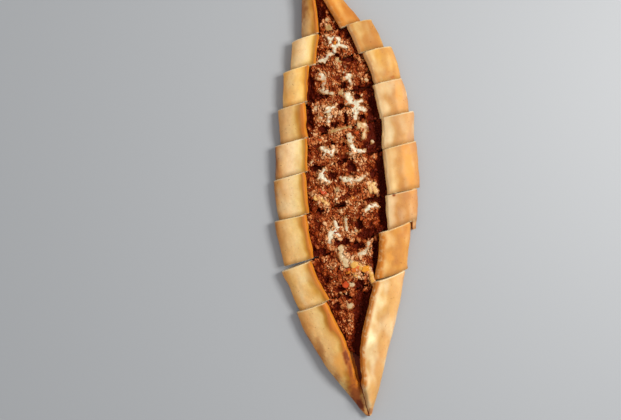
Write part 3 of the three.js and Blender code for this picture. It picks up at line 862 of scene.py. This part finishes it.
# Bread lower than this is a slice's floor, seen down a cut. What lies this near the filling reaches over it.
GAP_FLOOR = 7 * mm
REACH_TO_CUT = 1.3 * mm
FILLING_TOP = 13 * mm
OVERHEAD = 100 * mm

rng = np.random.default_rng(5)


def tree_of(kinds):
    """A search tree of the CAD nodes of these kinds, and the node that each of its faces is from."""
    points, polygons, owners = [], [], []
    for name, node in sorted(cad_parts.items()):
        if name.split("_")[0] in kinds:
            start = len(points)
            points += [v.co.copy() for v in node.data.vertices]
            polygons += [[start + i for i in p.vertices] for p in node.data.polygons]
            owners += [name] * len(node.data.polygons)
    return BVHTree.FromPolygons(points, polygons), owners


everything, owner_of = tree_of({"dough", "filling", "cheese", "pepper"})
filling_tree, filling_owner = tree_of({"filling", "cheese", "pepper"})


def surface_at(x, y):
    """Height of the filling at a place, and its node, or None where bread covers it or it is too far off."""
    place, _, index, _ = everything.ray_cast((x, y, OVERHEAD), (0, 0, -1))
    if place is None:
        return None
    if not owner_of[index].startswith("dough"):
        return place.z, owner_of[index]
    if place.z > GAP_FLOOR:
        return None
    near, _, near_index, _ = filling_tree.find_nearest((x, y, FILLING_TOP))
    if math.hypot(near.x - x, near.y - y) > REACH_TO_CUT:
        return None
    return near.z, filling_owner[near_index]


def scattered_places(pitch, chance_of_none):
    """Uneven places over the whole filling, about this far apart: x, y, height and node."""
    low = [min(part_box(f"filling_{n}")[0][axis] for n in SLICES) for axis in (0, 1)]
    high = [max(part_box(f"filling_{n}")[1][axis] for n in SLICES) for axis in (0, 1)]
    found = []
    for x, y in itertools.product(*[np.arange(a, b, pitch) for a, b in zip(low, high)]):
        x, y = (x, y) + rng.uniform(-0.5, 0.5, 2) * pitch
        hit = surface_at(x, y)
        if hit and rng.random() > chance_of_none(hit[1]):
            found.append((x, y, *hit))
    return found


def icosphere(fineness):
    """Points and triangles of a round ball of radius 1: 20 triangles, or 80 or 320 if finer."""
    bpy.ops.mesh.primitive_ico_sphere_add(subdivisions=fineness + 1, radius=1)
    ball = bpy.context.object
    points = points_of(ball.data)
    triangles = np.array([p.vertices[:] for p in ball.data.polygons])
    bpy.data.objects.remove(ball)
    return points, triangles


def joined(name, shapes, triangles, tones):
    """One mesh of many loose bits, with each bit's tone stored at its points."""
    count = len(shapes[0])
    starts = np.arange(len(shapes)) * count
    mesh = bpy.data.meshes.new(name)
    faces = (triangles[None] + starts[:, None, None]).reshape(-1, 3)
    mesh.from_pydata(np.concatenate(shapes).tolist(), [], faces.tolist())
    mesh.shade_smooth()
    give(mesh, "tone", np.repeat(tones, count))
    piece = bpy.data.objects.new(name, mesh)
    scene.collection.objects.link(piece)
    return piece


def mostly_on_meat(node):
    """The chance that a place on this node stays empty: none on meat, and most on cheese or pepper."""
    return 0.0 if node.startswith("filling") else 0.8


def stroke(width, places, ground):
    """Overlapping flat blobs of uneven size along a bent line of places, lying on the filling."""
    points, _ = icosphere(1)
    shapes = []
    for start, end in zip(places, places[1:]):
        count = max(2, round(math.dist(start, end) / width * BLOBS_TO_WIDTH))
        for share in np.linspace(0, 1, count):
            x, y = np.array(start) + (np.array(end) - start) * share + rng.normal(0, width * BLOB_SWAY, 2)
            radius = width / 2 * rng.uniform(0.8, 1.3)
            place = np.array([x, y, ground])
            place[2] += heap(place[None])[0] * 0.6 + rng.uniform(-0.2, 0.3) * mm
            shapes.append(points * (radius, radius * rng.uniform(0.8, 1.2), CHEESE_HALF_THICKNESS) + place)
    for _ in range(round(1 + width / LOBE_SPACING)):
        start, angle = places[rng.integers(len(places))], rng.uniform(0, math.tau)
        way = np.array([math.cos(angle), math.sin(angle), 0])
        for reach in LOBE_REACHES:
            place = np.array([*start, ground]) + way * width * reach
            place[2] += heap(place[None])[0] * 0.7
            lobe = (width * LOBE_SIZE, width * LOBE_SIZE, 0.8 * CHEESE_HALF_THICKNESS)
            shapes.append(points * lobe + place)
    return shapes


def melted(blobs, name, seed):
    """One soft skin over all the blobs."""
    lump = joined(f"{name}_blobs", blobs, icosphere(1)[1], np.zeros(len(blobs)))
    piece = even_mesh(lump, name, CHEESE_VOXEL)
    bpy.data.objects.remove(lump)
    soft = points_of(piece.data)
    loose = np.zeros(len(soft), bool)
    for mean in relax(soft, edges_of(piece.data), loose, CHEESE_RELAX_ROUNDS):
        soft += (mean - soft) * 0.5
    soft[:, 2] += CHEESE_LUMP * ripple(soft, CHEESE_LUMP_SIZE, seed)
    move_points(piece.data, soft)
    return piece


def from_cheese(places):
    """How far each place is outside the known patches and shreds of cheese: less than 0 within one."""
    flat = places[:, :2] / mm
    nearest = np.full(len(flat), 99.0)
    shreds = [(width, (x, y), (x, y)) for x, y, width, _ in SHREDS]
    for width, *line in itertools.chain(*PATCHES, shreds):
        for start, end in itertools.pairwise(line):
            along = np.array(end) - start
            share = np.clip((flat - start) @ along / max(along @ along, 0.01), 0, 1)
            away = np.linalg.norm(flat - start - share[:, None] * along, axis=1) - width / 2
            np.minimum(nearest, away, out=nearest)
    return nearest * mm


def colour_cheese(piece, tan, yellow, spread):
    """Stores how near its edge the cheese is, where it is thin, and how tan and how yellow with oil."""
    soft = points_of(piece.data)
    outward = ease(from_cheese(soft), *THIN_EDGE)
    give(piece.data, "edge", np.clip(outward + spread * ripple(soft, 4 * mm, 32), 0, 1.2))
    give(piece.data, "tan", tan)
    give(piece.data, "yellow", yellow)


def cheese_patch(number):
    """One ragged patch in the place of its CAD solid."""
    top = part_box(f"cheese_{number}")[1].z - 0.3 * mm
    blobs = []
    for width, *places in PATCHES[number - 1]:
        blobs += stroke(width * MELT_SPREAD * mm, [(x * mm, y * mm) for x, y in places], top)
    piece = melted(blobs, f"melted_cheese_{number}", number)
    colour_cheese(piece, TAN_PATCHES.get(number, 0), YELLOW_PATCHES.get(number, 0), 0.3)
    return piece


def cheese_finish():
    """White melted cheese: moist, slightly see-through, tan and orange where oil has reached it."""
    constants = {
        "Roughness": 0.3,
        "Specular IOR Level": 0.3,
        "Subsurface Weight": 0.2,
        "Subsurface Radius": (0.002, 0.0015, 0.001),
        "Subsurface Scale": 0.5,
    }
    cheese = Finish("melted_cheese", constants)
    edge = cheese.attribute("edge") + (cheese.noise(2.4 * mm, 2) - 0.5) * 1.3
    white = cheese.attribute("yellow").blend(paint("ddd3b6"), paint("dca030"))
    colour = cheese.attribute("tan").blend(white, paint("a8844e"))
    colour = edge.between(0.06, 0.78).blend(colour, paint("aa6c34"))
    stained = cheese.noise(5 * mm, 2).between(0.58, 0.75)
    cheese.put(cheese.shader.inputs["Base Color"], (stained * 0.6).blend(colour, paint("b07038")))
    cheese.put(cheese.shader.inputs["Alpha"], 1 - edge.between(0.62, 1.1) * 0.95)
    cheese.bump(cheese.noise(1 * mm, 2), 0.3 * mm, 0.5)
    return cheese.material


melted_cheese = cheese_finish()
for number in range(1, len(PATCHES) + 1):
    piece = cheese_patch(number)
    piece.data.materials.append(melted_cheese)
    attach(piece, "root")
    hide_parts(f"cheese_{number}")


def cheese_shreds():
    """All the small shreds: those of known places, and strays as small as crumbs."""
    blobs, tans = [], []
    for x, y, width, tan in SHREDS:
        hit = surface_at(x * mm, y * mm)
        if hit:
            ends = np.array([(x, y), (x, y)]) + rng.uniform(-0.3, 0.3, (2, 2)) * width
            blobs += stroke(width * 0.75 * mm, [tuple(end) for end in ends * mm], hit[0] + 0.8 * mm)
            tans.append((x * mm, y * mm, tan))
    for x, y, z, _ in scattered_places(STRAY_PITCH, mostly_on_meat):
        spot = np.array([[x, y, z]])
        if max(oil_and_shadow(spot)[0], hollowness(spot)[0]) > STRAY_LIMIT:
            continue
        half = rng.uniform(STRAY_LEAST, STRAY_MOST)
        blobs += stroke(half * 2, [(x, y), (x + half, y - half)], z + 1.2 * mm)
        tans.append((x, y, rng.uniform(0.3, 1)))
    piece = melted(blobs, "cheese_shreds", 31)
    soft = points_of(piece.data)
    away = [np.hypot(soft[:, 0] - x, soft[:, 1] - y) for x, y, _ in tans]
    own_tan = np.array([tan for _, _, tan in tans])[np.argmin(away, axis=0)]
    colour_cheese(piece, own_tan, 0.2, 0.4)
    return piece


shreds = cheese_shreds()
shreds.data.materials.append(melted_cheese)
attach(shreds, "root")

# ---- The meat crumbs ---------------------------------------------------------------------------------------
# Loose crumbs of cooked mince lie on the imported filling: coarse ones, mostly 2 to 4 mm long, and finer grains
# between them. A few are pale with fat. Fewer lie in the hollows and where cheese has melted over them.

CRUMB_PITCH = 2.5 * mm
CRUMB_SIZE = 1.25 * mm
GRAIN_PITCH = 1.7 * mm
GRAIN_SIZE = 0.8 * mm
CRUMB_FORMS = 24
CRUMB_LUMPS = 0.6
# A crumb this near cheese is raised and pale, and one this far within its outline is mostly hidden by it.
CHEESE_NEAR = 3 * mm
CHEESE_WITHIN = 2.2 * mm
CREAMY_LIFT = 0.5 * mm
# Fewer crumbs lie where the heaps are lower than this.
GAP_DEPTH = -1.1 * mm
# The share of crumbs that are fatty, and how much paler they are.
FAT_SHARE = 0.1
FATTY = 0.3
CRUMB_TONES = [
    (0.0, paint("5a1604")),
    (0.28, paint("802c08")),
    (0.52, paint("aa4e1e")),
    (0.78, paint("c87e48")),
    (1.0, paint("e8b684")),
]


def lumpy_forms(fineness, count, roughness):
    """Several lumpy balls, each different."""
    points, triangles = icosphere(fineness)
    forms = []
    for form in range(count):
        swell = 1 + roughness * ripple(points, 0.8, form) + roughness * 0.7 * ripple(points, 0.4, form + 50)
        forms.append(points * swell[:, None])
    return forms, triangles


def turns(count, lean):
    """Rotations as matrices: mostly along the bread, leaning a little, and rolled over any way."""
    yaw = math.pi / 2 + rng.normal(0, 0.75, count)
    tilt = rng.normal(0, lean, count)
    roll = rng.uniform(0, math.tau, count)
    found = []
    for one_yaw, one_tilt, one_roll in zip(yaw, tilt, roll):
        found.append(np.array(Euler((one_roll, one_tilt, one_yaw)).to_matrix()))
    return found


def crumbs(name, pitch, size, fineness, sunk):
    """Crumbs of this typical half length, sunk into the filling by a share of their size."""
    forms, triangles = lumpy_forms(fineness, CRUMB_FORMS, CRUMB_LUMPS)
    grounds = np.array([place[:3] for place in scattered_places(pitch, lambda node: 0)])
    heaped = heap(grounds)
    oily = oil_and_shadow(grounds)
    hollow = hollowness(grounds)
    browned = ripple(grounds, 7 * mm, 12) + 0.7 * ripple(grounds, 4 * mm, 13)
    beside = from_cheese(grounds)
    creamy = 1 - ease(beside, 0, CHEESE_NEAR)
    covered = 1 - ease(beside, -CHEESE_WITHIN, 0)
    bare = np.maximum.reduce([0.6 * hollow, 0.15 * oily, 0.85 * covered, 0.6 * (heaped < GAP_DEPTH)])
    # Crumbs on heaps are painted lighter; those in hollows and the right fold's shadow get painted shade.
    tone = 0.44 + 0.2 * browned + 0.2 * heaped / mm + 0.18 * creamy
    oil_and_painted_shade = 0.5 * oily + 0.4 * hollow
    ways = turns(len(grounds), 0.4)
    shapes, tones = [], []
    for index, ground in enumerate(grounds):
        if rng.random() < bare[index]:
            continue
        length = size * min(rng.lognormal(0, 0.4), 1.8)
        axes = length * np.array([1, rng.uniform(0.5, 0.85), rng.uniform(0.45, 0.75)])
        shape = (forms[rng.integers(CRUMB_FORMS)] * axes) @ ways[index].T
        lift = heaped[index] - SINK * oily[index] + length * (0.4 - sunk) + rng.uniform(-0.4, 0.4) * size
        lift += CREAMY_LIFT * creamy[index]
        shapes.append(shape + ground + (0, 0, lift))
        fat = FATTY * (rng.random() < FAT_SHARE)
        tones.append(tone[index] + fat - oil_and_painted_shade[index] + rng.normal(0, 0.12))
    return joined(name, shapes, triangles, np.clip(tones, 0, 1))


crumb_meat = meat_finish("crumb_meat", CRUMB_TONES, 0.2)
for name, pitch, size, fineness, sunk in (
    ("meat_crumbs", CRUMB_PITCH, CRUMB_SIZE, 1, 0.4),
    ("meat_grains", GRAIN_PITCH, GRAIN_SIZE, 0, 0.1),
):
    piece = crumbs(name, pitch, size, fineness, sunk)
    piece.data.materials.append(crumb_meat)
    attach(piece, "root")

# ---- The pepper --------------------------------------------------------------------------------------------
# Soft roast pepper, orange to red, lies in the filling: two larger pieces, and small dice of it. It is
# glossy with the oil that it has taken up.

PEPPER_VOXEL = 0.5 * mm
PEPPER_LIFT = 0.7 * mm
PEPPER_LUMP, PEPPER_LUMP_SIZE = 0.4 * mm, 2.5 * mm
# How red each larger piece is.
PEPPER_REDS = (0.15, 0.4)
DIE_HALF_THICKNESS = 1.1 * mm
# The small dice in millimetres: x, y, half width, and how red.
DICE = (
    (7.6, 143.4, 2.4, 0.35), (5.2, -79.4, 3.6, 0.05), (-4.6, -78, 3.8, 0.6), (-15.5, -92, 3.2, 1),
    (-25, 0, 2.8, 1), (-27.5, 3, 1.6, 0.8), (-11.2, -78, 1.8, 0.9), (-20, 51, 1.8, 0.8), (-9, 107, 2.2, 0.4),
    (16, 53, 1.8, 0.9),
)


def pepper_finish():
    """Roast pepper, from orange to red, and a little uneven."""
    pepper = Finish("roast_pepper", {"Roughness": 0.3, "Specular IOR Level": 0.2, "Coat Weight": 0.1})
    red = pepper.attribute("red") + (pepper.noise(4 * mm, 2) - 0.5) * 0.8
    pepper.put(pepper.shader.inputs["Base Color"], red.between(0, 1).blend(paint("dc9028"), paint("bc4414")))
    pepper.bump(pepper.noise(1.5 * mm, 2), 0.3 * mm, 0.5)
    return pepper.material


roast_pepper = pepper_finish()
for number, red in enumerate(PEPPER_REDS, 1):
    piece = even_mesh(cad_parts[f"pepper_{number}"], f"pepper_piece_{number}", PEPPER_VOXEL)
    soft = points_of(piece.data)
    soft[:, 2] += heap(soft) * 0.5 + PEPPER_LIFT + PEPPER_LUMP * ripple(soft, PEPPER_LUMP_SIZE, 44)
    move_points(piece.data, soft)
    give(piece.data, "red", red)
    piece.data.materials.append(roast_pepper)
    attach(piece, "root")
    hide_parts(f"pepper_{number}")

dice_forms, dice_triangles = lumpy_forms(2, len(DICE), CRUMB_LUMPS)
dice_shapes = []
for form, (x, y, half, _) in zip(dice_forms, DICE):
    place = np.array([x * mm, y * mm, surface_at(x * mm, y * mm)[0]])
    place[2] += heap(place[None])[0] * 0.8 + (0.5 + 0.25 * half) * mm
    dice_shapes.append(form * (half * mm, half * 0.8 * mm, DIE_HALF_THICKNESS) + place)
pepper_dice = joined("pepper_dice", dice_shapes, dice_triangles, np.zeros(len(DICE)))
give(pepper_dice.data, "red", np.repeat([red for *_, red in DICE], len(dice_forms[0])))
pepper_dice.data.materials.append(roast_pepper)
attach(pepper_dice, "root")
